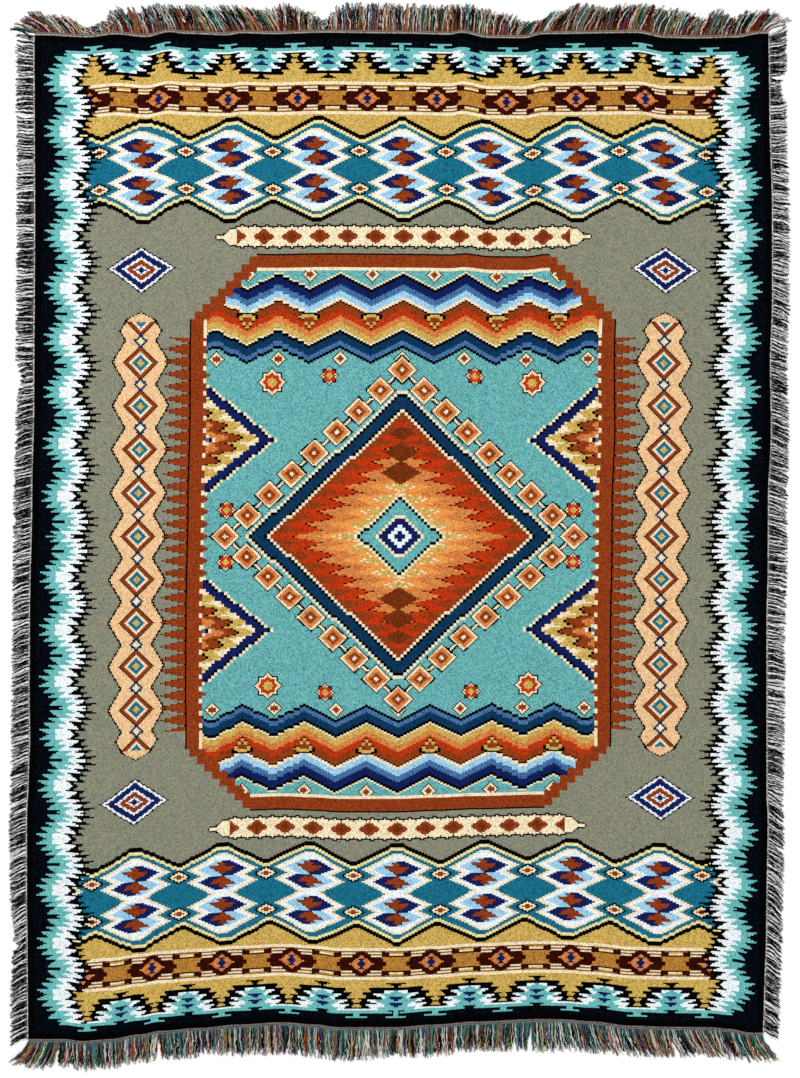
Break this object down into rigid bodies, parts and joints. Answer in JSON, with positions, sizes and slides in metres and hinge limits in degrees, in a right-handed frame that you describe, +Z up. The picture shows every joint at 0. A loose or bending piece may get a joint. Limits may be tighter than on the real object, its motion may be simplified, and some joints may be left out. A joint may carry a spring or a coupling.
{
  "type": "tapestry throw blanket",
  "caption": "Rectangular woven tapestry throw laid flat, with serrated side borders, banded ends, stepped diamonds in the middle and a fringe on all four sides.",
  "frame": {"origin": "middle of the underside of the blanket with its fringe, on the surface it lies on", "axes": "+Y along the length towards the top end, +X across the width, +Z up out of the patterned face"},
  "size_m": [1.3468, 1.8411, 0.0073],
  "materials": {
    "woven_cloth": "matt jacquard woven cotton in many yarn colours",
    "end_fringe": "matt frayed cotton yarn ends in mixed colours on a ribbed header band",
    "side_fringe": "matt frayed cotton yarn ends, black and pale grey"
  },
  "bodies": {
    "root": {"cloth": "woven_cloth", "fringe_top": "end_fringe", "fringe_bottom": "end_fringe", "fringe_left": "side_fringe", "fringe_right": "side_fringe"}
  },
  "joints": []
}
